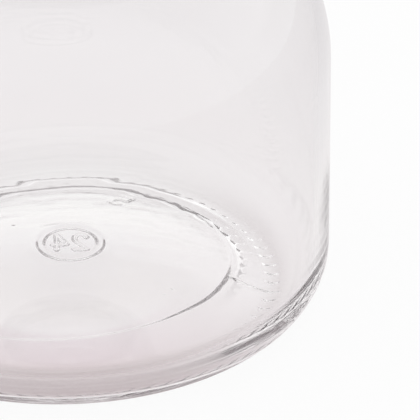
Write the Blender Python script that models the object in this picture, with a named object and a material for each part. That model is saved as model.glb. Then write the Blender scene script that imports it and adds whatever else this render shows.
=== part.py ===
"""Glass condiment jar with a threaded stainless lid: a fixed rear deck, a hinged front flap and a spoon notch.

Metres, +Z up. The origin is on the jar's axis, in the plane that the jar stands on, and the flap is on the -Y side.
"""

import math

import bmesh
import bpy
from mathutils import Matrix, Vector

# Shared values
TURN_STEPS = 48
SMALL_STEPS = 24
SEAT_GAP = 0.0003
CUT_OVERRUN = 0.002
WELD_DISTANCE = 0.000001
SHARP_ANGLE = math.radians(35)
AXIS_POINT = Vector((0, 0, 0))
UP = Vector((0, 0, 1))
ACROSS = Vector((1, 0, 0))

# Glass body
BODY_RADIUS = 0.040
BODY_WALL = 0.0020
SHOULDER_START = 0.0392
SHOULDER_RADIUS = 0.0302
SHOULDER_WALL = 0.0024
SHOULDER_STEPS = 9

# Heel, the rounded corner between the wall and the bearing ring
HEEL_REACH = 0.0070
HEEL_HEIGHT = 0.0089
HEEL_POWER = 1.9
INNER_HEEL_REACH = 0.0060
INNER_HEEL_HEIGHT = 0.0070
INNER_HEEL_POWER = 1.9
HEEL_STEPS = 7

# Base: a flat bearing ring and an arch pushed up inside it, with a plate's small step round its middle
BEARING_WIDTH = 0.0026
ANNULUS_WIDTH = 0.0066
ANNULUS_STEPS = 4
PLATE_STEP = 0.00025
PLATE_STEP_WIDTH = 0.00015
ARCH_HEIGHT = 0.0067
ARCH_POWER = 2.3
ARCH_STEPS = 6
BASE_THICKNESS = 0.0027
HEEL_FLOOR = 0.0031
INNER_FLOOR_STEPS = 7

# Neck and the standard 58 mm screw finish
NECK_RADIUS = 0.0273
NECK_WALL = 0.0026
NECK_FLARE = 0.0012
NECK_FILLET_STEPS = 4
FINISH_HEIGHT = 0.0103
OUTER_LIP = 0.0006
INNER_LIP = 0.0008
LIP_STEPS = 3
THREAD_LEAD = 0.00508
THREAD_HEIGHT = 0.0013
THREAD_WIDTH = 0.0026
THREAD_CREST = 0.0010
THREAD_SINK = 0.0005
THREAD_START = 0.0028
THREAD_TURNS = 1.05
RUN_OUT_SHARE = 0.10
FLANK_SHARE = 0.7

# Sealing ring under the lid
LINER_THICKNESS = 0.0009
LINER_INSET = 0.0002
LINER_PLAY = 0.0005

# Stamped cap
LID_SHEET = 0.0007
THREAD_PLAY = 0.0003
CAP_CLEARANCE = 0.0004
SKIRT_CLEARANCE = 0.0009
CURL_RADIUS = 0.0006
CURL_STEPS = 6
DECK_CORNER = 0.0012
CORNER_STEPS = 4
PANEL_RISE = 0.0012
PANEL_MARGIN = 0.0005
PANEL_SLOPE = 0.0012
PANEL_SLOPE_STEPS = 3
OPENING_MARGIN = 0.0004
CAP_THREAD_WIDTH = 0.0018
CAP_THREAD_CREST = 0.0006
CAP_THREAD_SINK = 0.0003
CAP_THREAD_LIFT = 0.0024
CAP_THREAD_TURNS = 0.95
GROOVE_WIDTH = 0.0013
GROOVE_DEPTH = 0.0008

# Hinge across the lid
HINGE_SETBACK = 0.003
KNUCKLE_RADIUS = 0.0019
KNUCKLE_SINK = 0.0003
KNUCKLE_BORE_PLAY = 0.0003
KNUCKLE_GAP = 0.0004
FLAP_KNUCKLE_LENGTH = 0.020
CAP_KNUCKLE_LENGTH = 0.0107
PIN_RADIUS = 0.0009
PIN_HEAD_RADIUS = 0.0013
PIN_HEAD_THICKNESS = 0.0006

# Flap with its spoon notch
FLAP_SETBACK = 0.0013
TONGUE_OVERLAP = 0.0007
NOTCH_WIDTH = 0.010
NOTCH_DEPTH = 0.0119
NOTCH_STEPS = 12

# Knob and its screw
KNOB_FROM_HINGE = 0.0135
KNOB_HEIGHT = 0.0085
KNOB_RADIUS = 0.0048
KNOB_HEAD_HEIGHT = 0.0058
KNOB_FOOT_RADIUS = 0.0034
KNOB_FOOT_HEIGHT = 0.0007
KNOB_WAIST_RADIUS = 0.0025
KNOB_HEAD_STEPS = 8
SCREW_RADIUS = 0.0012
SCREW_PLAY = 0.0003
SCREW_BITE = 0.0042
SCREW_HEAD_RADIUS = 0.0026
SCREW_HEAD_HEIGHT = 0.0011
SCREW_HEAD_EDGE_SHARE = 0.55

# Sizes that follow from those above
BEARING_OUTER_RADIUS = BODY_RADIUS - HEEL_REACH
BEARING_INNER_RADIUS = BEARING_OUTER_RADIUS - BEARING_WIDTH
PLATE_RADIUS = BEARING_INNER_RADIUS - ANNULUS_WIDTH
INNER_FLOOR_RADIUS = BODY_RADIUS - BODY_WALL - INNER_HEEL_REACH
INNER_FLOOR_TOP = ARCH_HEIGHT + BASE_THICKNESS
NECK_INNER_RADIUS = NECK_RADIUS - NECK_WALL
THREAD_CREST_RADIUS = NECK_RADIUS + THREAD_HEIGHT
SKIRT_INNER_RADIUS = THREAD_CREST_RADIUS + CAP_CLEARANCE
SKIRT_RADIUS = SKIRT_INNER_RADIUS + LID_SHEET
CAP_THREAD_HEIGHT = THREAD_HEIGHT
STEP_RADIUS = NECK_INNER_RADIUS - PANEL_MARGIN
OPENING_RADIUS = STEP_RADIUS + OPENING_MARGIN
FLAP_RADIUS = SKIRT_RADIUS - FLAP_SETBACK
KNUCKLE_BORE_RADIUS = PIN_RADIUS + KNUCKLE_BORE_PLAY
HINGE_REACH = KNUCKLE_RADIUS + KNUCKLE_GAP


def quarter(centre_r, centre_z, reach_r, reach_z, start, end, steps, power=2.0):
    """Points of a superellipse arc from start to end, in degrees from the outward direction."""
    points = []
    for i in range(steps + 1):
        angle = math.radians(start + (end - start) * i / steps)
        across = math.copysign(abs(math.cos(angle)) ** (2 / power), math.cos(angle))
        upward = math.copysign(abs(math.sin(angle)) ** (2 / power), math.sin(angle))
        points.append((centre_r + reach_r * across, centre_z + reach_z * upward))
    return points


def shoulder(wall_low, wall_high, neck_radius):
    """The wall's line from the shoulder's start up to the neck's foot, walls of that thickness inside the outer line."""
    centre_r = BODY_RADIUS - SHOULDER_RADIUS
    end_radius = SHOULDER_RADIUS - wall_high
    end = math.acos((neck_radius + NECK_FLARE - centre_r) / end_radius)
    points = []
    for i in range(SHOULDER_STEPS + 1):
        share = i / SHOULDER_STEPS
        radius = SHOULDER_RADIUS - wall_low - (wall_high - wall_low) * share
        angle = end * share
        points.append((centre_r + radius * math.cos(angle), SHOULDER_START + radius * math.sin(angle)))
    leg = NECK_FLARE / math.sin(end)
    first = Vector(points[-1])
    corner = Vector((neck_radius, first.y + leg * math.cos(end)))
    last = Vector((neck_radius, corner.y + leg))
    for i in range(1, NECK_FILLET_STEPS + 1):
        t = i / NECK_FILLET_STEPS
        point = first * (1 - t) ** 2 + corner * (2 * t * (1 - t)) + last * t**2
        points.append((point.x, point.y))
    return points


def arch_height(radius):
    """Height of the pushed-up underside at a radius."""
    return ARCH_HEIGHT * (1 - (radius / BEARING_INNER_RADIUS) ** ARCH_POWER)


OUTER_SHOULDER = shoulder(0, 0, NECK_RADIUS)
INNER_SHOULDER = shoulder(BODY_WALL, SHOULDER_WALL, NECK_INNER_RADIUS)
NECK_FOOT = OUTER_SHOULDER[-1][1]
RIM_HEIGHT = NECK_FOOT + FINISH_HEIGHT
THREAD_HEIGHT_AT_START = NECK_FOOT + THREAD_START
LINER_BOTTOM = RIM_HEIGHT + SEAT_GAP
DECK_BOTTOM = LINER_BOTTOM + LINER_THICKNESS + SEAT_GAP
DECK_TOP = DECK_BOTTOM + LID_SHEET
SKIRT_BOTTOM = NECK_FOOT + SKIRT_CLEARANCE
FLAP_BOTTOM = DECK_TOP + SEAT_GAP
FLAP_PANEL_BOTTOM = FLAP_BOTTOM + PANEL_RISE
FLAP_PANEL_TOP = FLAP_PANEL_BOTTOM + LID_SHEET
HINGE_HEIGHT = DECK_TOP + PANEL_RISE + KNUCKLE_RADIUS - KNUCKLE_SINK
HINGE_POINT = Vector((0, HINGE_SETBACK, HINGE_HEIGHT))
KNOB_BOTTOM = FLAP_PANEL_TOP + SEAT_GAP
KNOB_PLACE = Vector((0, HINGE_SETBACK - KNOB_FROM_HINGE, KNOB_BOTTOM))


def clear_scene():
    for obj in list(bpy.data.objects):
        bpy.data.objects.remove(obj)


def make_material(name, colour, roughness, metallic=0.0, transmission=0.0):
    material = bpy.data.materials.new(name)
    material.use_nodes = True
    shader = material.node_tree.nodes["Principled BSDF"]
    shader.inputs["Base Color"].default_value = (*colour, 1)
    shader.inputs["Roughness"].default_value = roughness
    shader.inputs["Metallic"].default_value = metallic
    shader.inputs["Transmission Weight"].default_value = transmission
    material.diffuse_color = (*colour, 1)
    return material


def add_object(name, mesh_builder, material=None):
    """An object from a bmesh, welded, with its faces pointing out and round stretches shaded smooth."""
    bmesh.ops.remove_doubles(mesh_builder, verts=mesh_builder.verts, dist=WELD_DISTANCE)
    bmesh.ops.dissolve_degenerate(mesh_builder, edges=mesh_builder.edges, dist=WELD_DISTANCE)
    bmesh.ops.recalc_face_normals(mesh_builder, faces=mesh_builder.faces)
    mesh = bpy.data.meshes.new(name)
    mesh_builder.to_mesh(mesh)
    mesh_builder.free()
    mesh.shade_smooth()
    mesh.set_sharp_from_angle(angle=SHARP_ANGLE)
    obj = bpy.data.objects.new(name, mesh)
    bpy.context.scene.collection.objects.link(obj)
    if material:
        mesh.materials.append(material)
    return obj


def turned(name, outline, material=None, steps=TURN_STEPS, closed=False):
    """A solid of revolution about +Z from points (radius, height). A closed outline stays off the axis."""
    builder = bmesh.new()
    verts = [builder.verts.new((radius, 0, height)) for radius, height in outline]
    pairs = list(zip(verts, verts[1:]))
    if closed:
        pairs.append((verts[-1], verts[0]))
    edges = [builder.edges.new(pair) for pair in pairs]
    bmesh.ops.spin(
        builder, geom=verts + edges, cent=AXIS_POINT, axis=UP, angle=math.tau, steps=steps, use_merge=True
    )
    return add_object(name, builder, material)


def prism(name, outline, low, high):
    """An upright prism from points (x, y), used to cut."""
    builder = bmesh.new()
    face = builder.faces.new([builder.verts.new((x, y, low)) for x, y in outline])
    raised = bmesh.ops.extrude_face_region(builder, geom=[face])
    moved = [item for item in raised["geom"] if isinstance(item, bmesh.types.BMVert)]
    bmesh.ops.translate(builder, verts=moved, vec=UP * (high - low))
    return add_object(name, builder)


def rod(name, radius, centre, length, direction, material=None, steps=SMALL_STEPS):
    """A cylinder of that length about a point."""
    builder = bmesh.new()
    turn = UP.rotation_difference(direction).to_matrix().to_4x4()
    bmesh.ops.create_cone(
        builder,
        cap_ends=True,
        segments=steps,
        radius1=radius,
        radius2=radius,
        depth=length,
        matrix=Matrix.Translation(centre) @ turn,
    )
    return add_object(name, builder, material)


def helical_ridge(name, root_radius, height, widths, sink, start_height, start_turn, turns):
    """A screw thread's ridge, buried in its wall at both ends. A negative height faces the axis."""
    base_width, crest_width = widths
    steps = round(turns * TURN_STEPS)
    side = math.copysign(1, height)
    builder = bmesh.new()
    sections = []
    for i in range(steps + 1):
        share = i / steps
        rise = min(1, share / RUN_OUT_SHARE, (1 - share) / RUN_OUT_SHARE)
        buried = side * sink * (1 - rise) / 2
        turn = turns * share
        angle = math.tau * (start_turn + turn)
        middle = start_height + THREAD_LEAD * turn
        section = [
            (root_radius - side * sink, -base_width / 2),
            (root_radius + FLANK_SHARE * height * rise - buried, -crest_width / 2),
            (root_radius + height * rise - buried, 0),
            (root_radius + FLANK_SHARE * height * rise - buried, crest_width / 2),
            (root_radius - side * sink, base_width / 2),
        ]
        sections.append(
            [
                builder.verts.new((radius * math.cos(angle), radius * math.sin(angle), middle + offset))
                for radius, offset in section
            ]
        )
    for before, after in zip(sections, sections[1:]):
        for k, vert in enumerate(before):
            following = (k + 1) % len(before)
            builder.faces.new((vert, before[following], after[following], after[k]))
    builder.faces.new(sections[0])
    builder.faces.new(sections[-1])
    return add_object(name, builder)


def combine(obj, operation, tool):
    """Adds an exact Boolean that takes the tool away from the object, or joins it on, and hides the tool."""
    modifier = obj.modifiers.new(tool.name, "BOOLEAN")
    modifier.operation = operation
    modifier.solver = "EXACT"
    modifier.object = tool
    tool.hide_render = True
    tool.display_type = "WIRE"


def set_origin(obj, point):
    """Moves the object's origin to a point on its joint's axis, with the shape left in place."""
    obj.data.transform(Matrix.Translation(-point))
    obj.location = point


def attach(child, parent):
    """Parents a piece to the one that carries it, with both left in place."""
    bpy.context.view_layer.update()
    child.parent = parent
    child.matrix_parent_inverse = parent.matrix_world.inverted()


def jar_underside():
    """From the middle of the pushed-up arch out to the bearing ring."""
    points = []
    for i in range(ARCH_STEPS + 1):
        radius = PLATE_RADIUS * i / ARCH_STEPS
        points.append((radius, arch_height(radius) - PLATE_STEP))
    foot = PLATE_RADIUS + PLATE_STEP_WIDTH
    for i in range(ANNULUS_STEPS + 1):
        radius = foot + (BEARING_INNER_RADIUS - foot) * i / ANNULUS_STEPS
        points.append((radius, arch_height(radius)))
    return points


def jar_inner_floor():
    """From the foot of the inner heel in to the middle of the floor."""
    points = []
    for i in range(1, INNER_FLOOR_STEPS + 1):
        share = 1 - i / INNER_FLOOR_STEPS
        lift = 1 - share**2
        points.append((INNER_FLOOR_RADIUS * share, HEEL_FLOOR + (INNER_FLOOR_TOP - HEEL_FLOOR) * lift))
    return points


def make_glass_jar(material):
    heel = quarter(
        BEARING_OUTER_RADIUS, HEEL_HEIGHT, HEEL_REACH, HEEL_HEIGHT, -90, 0, HEEL_STEPS, HEEL_POWER
    )
    lip = quarter(NECK_RADIUS - OUTER_LIP, RIM_HEIGHT - OUTER_LIP, OUTER_LIP, OUTER_LIP, 0, 90, LIP_STEPS)
    inner_lip = quarter(
        NECK_INNER_RADIUS + INNER_LIP, RIM_HEIGHT - INNER_LIP, INNER_LIP, INNER_LIP, 90, 180, LIP_STEPS
    )
    inner_heel = quarter(
        INNER_FLOOR_RADIUS,
        HEEL_FLOOR + INNER_HEEL_HEIGHT,
        INNER_HEEL_REACH,
        INNER_HEEL_HEIGHT,
        0,
        -90,
        HEEL_STEPS,
        INNER_HEEL_POWER,
    )
    outline = jar_underside() + heel + OUTER_SHOULDER + lip + inner_lip
    outline += INNER_SHOULDER[::-1] + inner_heel + jar_inner_floor()
    jar = turned("glass_jar", outline, material)
    thread = helical_ridge(
        "jar_thread",
        NECK_RADIUS,
        THREAD_HEIGHT,
        (THREAD_WIDTH, THREAD_CREST),
        THREAD_SINK,
        THREAD_HEIGHT_AT_START,
        0,
        THREAD_TURNS,
    )
    combine(jar, "UNION", thread)
    return jar


def make_lid_liner(material):
    inner = NECK_INNER_RADIUS + LINER_INSET
    outer = SKIRT_INNER_RADIUS - LINER_PLAY
    top = LINER_BOTTOM + LINER_THICKNESS
    outline = [(inner, LINER_BOTTOM), (outer, LINER_BOTTOM), (outer, top), (inner, top)]
    return turned("lid_liner", outline, material, closed=True)


def stamped_step(low):
    """The top line of the stamped step, from the flat border up to the raised panel's edge."""
    points = []
    for i in range(PANEL_SLOPE_STEPS + 1):
        share = i / PANEL_SLOPE_STEPS
        rise = (1 - math.cos(math.pi * share)) / 2
        points.append((STEP_RADIUS - PANEL_SLOPE * share, low + PANEL_RISE * rise))
    return points


def cap_outline():
    """Half section of the cap: curled foot, skirt, rounded corner, flat border and raised panel."""
    curl_height = SKIRT_BOTTOM + CURL_RADIUS
    curl = quarter(SKIRT_RADIUS, curl_height, CURL_RADIUS, CURL_RADIUS, -90, 90, CURL_STEPS)
    corner = quarter(
        SKIRT_RADIUS - DECK_CORNER, DECK_TOP - DECK_CORNER, DECK_CORNER, DECK_CORNER, 0, 90, CORNER_STEPS
    )
    top = stamped_step(DECK_TOP)
    underside = stamped_step(DECK_BOTTOM)[::-1]
    panel_top = DECK_TOP + PANEL_RISE
    panel_bottom = DECK_BOTTOM + PANEL_RISE
    inner_corner = DECK_CORNER - LID_SHEET
    under_corner = quarter(
        SKIRT_INNER_RADIUS - inner_corner, DECK_BOTTOM - inner_corner, inner_corner, inner_corner, 90, 0, LIP_STEPS
    )
    outline = [(0, panel_bottom)] + underside + under_corner
    outline += [(SKIRT_INNER_RADIUS, SKIRT_BOTTOM)] + curl + corner + top + [(0, panel_top)]
    return outline


def make_lid_cap(material):
    cap = turned("lid_cap", cap_outline(), material)
    lag = (THREAD_WIDTH + CAP_THREAD_CREST) / 2 + THREAD_PLAY
    start_height = SKIRT_BOTTOM + CAP_THREAD_LIFT
    start_turn = (start_height + lag - THREAD_HEIGHT_AT_START) / THREAD_LEAD
    thread = helical_ridge(
        "cap_thread",
        SKIRT_INNER_RADIUS,
        -CAP_THREAD_HEIGHT,
        (CAP_THREAD_WIDTH, CAP_THREAD_CREST),
        CAP_THREAD_SINK,
        start_height,
        start_turn,
        CAP_THREAD_TURNS,
    )
    combine(cap, "UNION", thread)
    groove = helical_ridge(
        "cap_groove",
        SKIRT_RADIUS,
        -GROOVE_DEPTH,
        (GROOVE_WIDTH, GROOVE_WIDTH / 2),
        CUT_OVERRUN / 2,
        start_height,
        start_turn,
        CAP_THREAD_TURNS,
    )
    combine(cap, "DIFFERENCE", groove)
    chord = math.degrees(math.asin(HINGE_SETBACK / OPENING_RADIUS))
    mouth = quarter(0, 0, OPENING_RADIUS, OPENING_RADIUS, 180 - chord, 360 + chord, TURN_STEPS // 2)
    opening = prism("cap_opening", mouth, DECK_BOTTOM - CUT_OVERRUN, DECK_TOP + PANEL_RISE + CUT_OVERRUN)
    combine(cap, "DIFFERENCE", opening)
    half = FLAP_KNUCKLE_LENGTH / 2 + KNUCKLE_GAP
    back = HINGE_SETBACK + HINGE_REACH
    pocket_outline = [(-half, 0), (half, 0), (half, back), (-half, back)]
    pocket = prism("hinge_pocket", pocket_outline, DECK_BOTTOM - CUT_OVERRUN, DECK_TOP + PANEL_RISE + CUT_OVERRUN)
    combine(cap, "DIFFERENCE", pocket)
    for side, word in ((-1, "left"), (1, "right")):
        middle = HINGE_POINT + ACROSS * side * (half + CAP_KNUCKLE_LENGTH / 2)
        barrel = rod(f"cap_knuckle_{word}", KNUCKLE_RADIUS, middle, CAP_KNUCKLE_LENGTH, ACROSS)
        combine(cap, "UNION", barrel)
    combine(cap, "DIFFERENCE", hinge_bore("cap_hinge_bore"))
    set_origin(cap, UP * SKIRT_BOTTOM)
    return cap


def hinge_bore(name):
    length = FLAP_KNUCKLE_LENGTH + 2 * (KNUCKLE_GAP + CAP_KNUCKLE_LENGTH + CUT_OVERRUN)
    return rod(name, KNUCKLE_BORE_RADIUS, HINGE_POINT, length, ACROSS)


def flap_outline():
    """Half section of the flap's full disc: raised panel, stamped step and flat border."""
    top = stamped_step(FLAP_BOTTOM + LID_SHEET)[::-1]
    underside = stamped_step(FLAP_BOTTOM)
    border = [(FLAP_RADIUS, FLAP_BOTTOM + LID_SHEET), (FLAP_RADIUS, FLAP_BOTTOM)]
    return [(0, FLAP_PANEL_TOP)] + top + border + underside + [(0, FLAP_PANEL_BOTTOM)]


def make_lid_flap(material):
    flap = turned("lid_flap", flap_outline(), material)
    low = FLAP_BOTTOM - CUT_OVERRUN
    high = FLAP_PANEL_TOP + CUT_OVERRUN
    half = FLAP_KNUCKLE_LENGTH / 2
    edge = HINGE_SETBACK - HINGE_REACH
    tongue = HINGE_SETBACK - KNUCKLE_RADIUS + TONGUE_OVERLAP
    far = FLAP_RADIUS + CUT_OVERRUN
    behind = [(-far, edge), (-half, edge), (-half, tongue), (half, tongue), (half, edge), (far, edge)]
    behind += [(far, far), (-far, far)]
    combine(flap, "DIFFERENCE", prism("behind_flap", behind, low, high))
    notch_radius = NOTCH_WIDTH / 2
    notch_middle = NOTCH_DEPTH - notch_radius - FLAP_RADIUS
    notch = quarter(0, notch_middle, notch_radius, notch_radius, 0, 180, NOTCH_STEPS)
    notch += [(-notch_radius, -far), (notch_radius, -far)]
    combine(flap, "DIFFERENCE", prism("spoon_notch", notch, low, high))
    hole_length = LID_SHEET + 2 * CUT_OVERRUN
    hole_middle = KNOB_PLACE - UP * (SEAT_GAP + LID_SHEET / 2)
    hole = rod("screw_hole", SCREW_RADIUS + SCREW_PLAY, hole_middle, hole_length, UP)
    combine(flap, "DIFFERENCE", hole)
    barrel = rod("flap_knuckle", KNUCKLE_RADIUS, HINGE_POINT, FLAP_KNUCKLE_LENGTH, ACROSS)
    combine(flap, "UNION", barrel)
    combine(flap, "DIFFERENCE", hinge_bore("flap_hinge_bore"))
    set_origin(flap, HINGE_POINT)
    return flap


def make_hinge_pin(material):
    """The pin, turned about its own axis and laid across the lid, with a peened head at each end."""
    half = FLAP_KNUCKLE_LENGTH / 2 + KNUCKLE_GAP + CAP_KNUCKLE_LENGTH + SEAT_GAP
    end = half + PIN_HEAD_THICKNESS
    outline = [(0, -end), (PIN_HEAD_RADIUS, -end), (PIN_HEAD_RADIUS, -half), (PIN_RADIUS, -half)]
    outline += [(radius, -height) for radius, height in outline[::-1]]
    pin = turned("hinge_pin", outline, material, SMALL_STEPS)
    pin.data.transform(UP.rotation_difference(ACROSS).to_matrix().to_4x4())
    pin.location = HINGE_POINT
    return pin


def make_flap_knob(material):
    """A turned knob, with a blind hole for its screw."""
    bore = SCREW_RADIUS + SCREW_PLAY
    depth = SCREW_BITE + SEAT_GAP
    half_head = KNOB_HEAD_HEIGHT / 2
    head_start = -math.degrees(math.acos(KNOB_WAIST_RADIUS / KNOB_RADIUS))
    head = quarter(
        0, KNOB_HEIGHT - half_head, KNOB_RADIUS, half_head, head_start, 90, KNOB_HEAD_STEPS
    )
    outline = [(0, depth), (bore, depth), (bore, 0), (KNOB_FOOT_RADIUS, 0)]
    outline += [(KNOB_FOOT_RADIUS, KNOB_FOOT_HEIGHT)] + head
    knob = turned("flap_knob", outline, material, SMALL_STEPS)
    knob.location = KNOB_PLACE
    return knob


def make_knob_screw(material):
    """A screw with a rounded head under the flap and its shank up in the knob."""
    top = SEAT_GAP + LID_SHEET + SEAT_GAP + SCREW_BITE
    edge = SCREW_HEAD_HEIGHT * SCREW_HEAD_EDGE_SHARE
    dome = quarter(0, -edge, SCREW_HEAD_RADIUS, SCREW_HEAD_HEIGHT - edge, -90, 0, LIP_STEPS)
    outline = dome + [(SCREW_HEAD_RADIUS, 0), (SCREW_RADIUS, 0), (SCREW_RADIUS, top), (0, top)]
    screw = turned("knob_screw", outline, material, SMALL_STEPS)
    screw.location = KNOB_PLACE - UP * (SEAT_GAP + LID_SHEET + SEAT_GAP)
    return screw


def main():
    clear_scene()
    glass = make_material("clear_glass", (0.96, 0.94, 0.95), 0.02, transmission=1.0)
    rubber = make_material("liner_white", (0.86, 0.85, 0.82), 0.55)
    steel = make_material("polished_steel", (0.74, 0.74, 0.75), 0.18, metallic=1.0)
    pin_steel = make_material("pin_steel", (0.66, 0.66, 0.67), 0.25, metallic=1.0)
    black = make_material("black_plastic", (0.02, 0.02, 0.022), 0.25)
    make_glass_jar(glass)
    liner = make_lid_liner(rubber)
    cap = make_lid_cap(steel)
    flap = make_lid_flap(steel)
    attach(cap, liner)
    attach(flap, cap)
    attach(make_hinge_pin(pin_steel), cap)
    attach(make_flap_knob(black), flap)
    attach(make_knob_screw(pin_steel), flap)


main()
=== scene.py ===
"""Looks of the glass condiment jar: moulded glass with its base marks, and the stamped stainless lid.

Metres, +Z up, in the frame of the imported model. The flap is on the -Y side, which is the front.
"""

import math

import bmesh
import bpy
import numpy as np
from mathutils import Matrix, Vector, noise


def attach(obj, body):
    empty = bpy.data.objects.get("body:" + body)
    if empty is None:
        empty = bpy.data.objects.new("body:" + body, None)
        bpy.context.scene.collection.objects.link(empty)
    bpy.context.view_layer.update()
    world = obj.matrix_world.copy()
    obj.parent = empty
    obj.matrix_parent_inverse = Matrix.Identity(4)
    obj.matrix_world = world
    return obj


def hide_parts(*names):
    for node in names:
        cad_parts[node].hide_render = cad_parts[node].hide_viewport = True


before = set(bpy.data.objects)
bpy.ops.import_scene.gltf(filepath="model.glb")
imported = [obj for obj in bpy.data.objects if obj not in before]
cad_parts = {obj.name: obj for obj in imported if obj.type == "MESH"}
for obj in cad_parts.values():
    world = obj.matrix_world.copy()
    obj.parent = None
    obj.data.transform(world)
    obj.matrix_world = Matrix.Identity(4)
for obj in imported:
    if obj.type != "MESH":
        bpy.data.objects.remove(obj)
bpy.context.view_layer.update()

UP = Vector((0, 0, 1))
ACROSS = Vector((1, 0, 0))

# Camera, from the photograph's frame
IMAGE_SIZE = 420
SENSOR = 36.0
BASE_CENTRE_PIXEL = (67.9, 286.7)
PIXELS_PER_METRE = 6506.0
CAMERA_DISTANCE = 0.562
CAMERA_ELEVATION = math.radians(30.0)
CAMERA_ROLL = 0.029

# Glass body, as in the solid model
BODY_RADIUS = 0.040
BODY_WALL = 0.0020
SHOULDER_START = 0.0392
SHOULDER_RADIUS = 0.0302
SHOULDER_WALL = 0.0024
HEEL_REACH = 0.0070
HEEL_HEIGHT = 0.0089
HEEL_POWER = 1.9
INNER_HEEL_REACH = 0.0060
INNER_HEEL_HEIGHT = 0.0070
INNER_HEEL_POWER = 1.9
BEARING_WIDTH = 0.0026
ANNULUS_WIDTH = 0.0066
PLATE_STEP = 0.00025
PLATE_STEP_WIDTH = 0.00060
FADE_FROM = 0.014
NEAR_FADE = 0.52
# The shift and the waves were fitted by another script to 14 shifts of the edge, chosen by hand
PLATE_SHIFT = -0.00046
PLATE_WAVES = ((0.00002, 0.00107), (0.00062, 0.00042), (0.00015, 0.00006))
PLATE_WAVE_FROM = 0.010
ARCH_HEIGHT = 0.0067
ARCH_POWER = 2.3
BASE_THICKNESS = 0.0027
HEEL_FLOOR = 0.0031
NECK_RADIUS = 0.0273
NECK_WALL = 0.0026
NECK_FLARE = 0.0012
FINISH_HEIGHT = 0.0103
OUTER_LIP = 0.0006
INNER_LIP = 0.0008
THREAD_LEAD = 0.00508
THREAD_HEIGHT = 0.0013
THREAD_WIDTH = 0.0026
THREAD_START = 0.0028
THREAD_TURNS = 1.05
RUN_OUT_SHARE = 0.10
BEARING_OUTER = BODY_RADIUS - HEEL_REACH
BEARING_INNER = BEARING_OUTER - BEARING_WIDTH
PLATE_RADIUS = BEARING_INNER - ANNULUS_WIDTH
INNER_FLOOR_RADIUS = BODY_RADIUS - BODY_WALL - INNER_HEEL_REACH
INNER_FLOOR_TOP = ARCH_HEIGHT + BASE_THICKNESS
NECK_INNER = NECK_RADIUS - NECK_WALL
WELD_DISTANCE = 0.000001

# Marks moulded into the base
KNURLS = 73
KNURL_STOPS = (-0.5, -0.2, -0.09, 0.0, 0.09, 0.2)
KNURL_MIDDLE = 0.0313
KNURL_HEIGHT = 0.00016
KNURL_WIDTH = 0.0018
KNURL_LENGTH = 0.0036
KNURL_BOW = 0.00045
MARK_CENTRE = (0.0006, 0.0)
MARK_REACH = 0.0075
MARK_RADIUS = 0.0045
MARK_WIDTH = 0.0016
MARK_HEIGHT = 0.00034
MARK_SINK = 0.00012
MARK_TEXT = "24"
DIGIT_HEIGHT = 0.0043
DIGIT_WIDTH = 0.0022
DIGIT_GAP = 0.0009
STROKE_WIDTH = 0.00075
MOULD_TEXT = "5"
MOULD_CENTRE = (0.0086, 0.0158)
MOULD_TURN = math.radians(-30)
MOULD_HEIGHT = 0.00010
SEAM_KNURL = -2.09
SEAM_HEIGHT = 0.00010
SEAM_WIDTH = 0.0006
PIPS = ((-0.0080, 0.0068), (0.0140, -0.0117), (-0.0060, -0.0217), (0.0152, -0.0103))
PIP_RADIUS = 0.00045
PIP_HEIGHT = 0.00010

# Where the flanks of the marks start and end, in shares of their widths
RING_FLANK = (0.10, 0.60)
STROKE_FLANK = (0.15, 0.65)
KNURL_FLANK = (0.10, 1.00)
KNURL_END = (0.55, 1.10)
THREAD_FLANK = (0.25, 1.00)

# Lid, as in the solid model
SEAT_GAP = 0.0003
LINER_THICKNESS = 0.0009
LINER_INSET = 0.0002
LINER_PLAY = 0.0005
LID_SHEET = 0.0007
CAP_CLEARANCE = 0.0004
SKIRT_CLEARANCE = 0.0009
DECK_CORNER = 0.0012
PANEL_RISE = 0.0012
PANEL_MARGIN = 0.0005
PANEL_SLOPE = 0.0012
OPENING_MARGIN = 0.0004
THREAD_PLAY = 0.0003
CAP_THREAD_CREST = 0.0006
CAP_THREAD_LIFT = 0.0024
CAP_THREAD_TURNS = 0.95
HINGE_SETBACK = 0.003
KNUCKLE_RADIUS = 0.0019
KNUCKLE_SINK = 0.0003
KNUCKLE_GAP = 0.0004
FLAP_KNUCKLE_LENGTH = 0.020
CAP_KNUCKLE_LENGTH = 0.0107
PIN_RADIUS = 0.0009
PIN_HEAD_RADIUS = 0.0013
PIN_HEAD_THICKNESS = 0.0006
FLAP_SETBACK = 0.0013
NOTCH_WIDTH = 0.010
NOTCH_DEPTH = 0.0119
KNOB_FROM_HINGE = 0.0135
KNOB_HEIGHT = 0.0085
KNOB_RADIUS = 0.0048
KNOB_HEAD_HEIGHT = 0.0058
KNOB_FOOT_RADIUS = 0.0034
KNOB_FOOT_HEIGHT = 0.0007
KNOB_WAIST_RADIUS = 0.0025
SCREW_RADIUS = 0.0012
SCREW_PLAY = 0.0003
SCREW_BITE = 0.0042
SCREW_HEAD_RADIUS = 0.0026
SCREW_HEAD_HEIGHT = 0.0011

# Finer shapes of the lid, left out of the solid model
SHEET_EDGE = 0.00022
FOOT_FLARE = 0.00045
FOOT_FLARE_HEIGHT = 0.0011
CAP_THREAD_DEPTH = 0.0011
CAP_THREAD_REACH = 0.0016
CURL_END = math.radians(192)
RELIEF_WIDTH = 0.0004
LINER_EDGE = 0.00025
LINER_TRACK = 0.00012
SLOT_WIDTH = 0.0006
SLOT_DEPTH = 0.00055
PARTING_HEIGHT = 0.00006
PARTING_WIDTH = 0.00022
GATE_RADIUS = 0.0006
GATE_DEPTH = 0.00018
BEVEL_FROM = math.radians(50)
SHARP_FROM = math.radians(35)
LINER_SHARP_FROM = math.radians(60)

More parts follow.
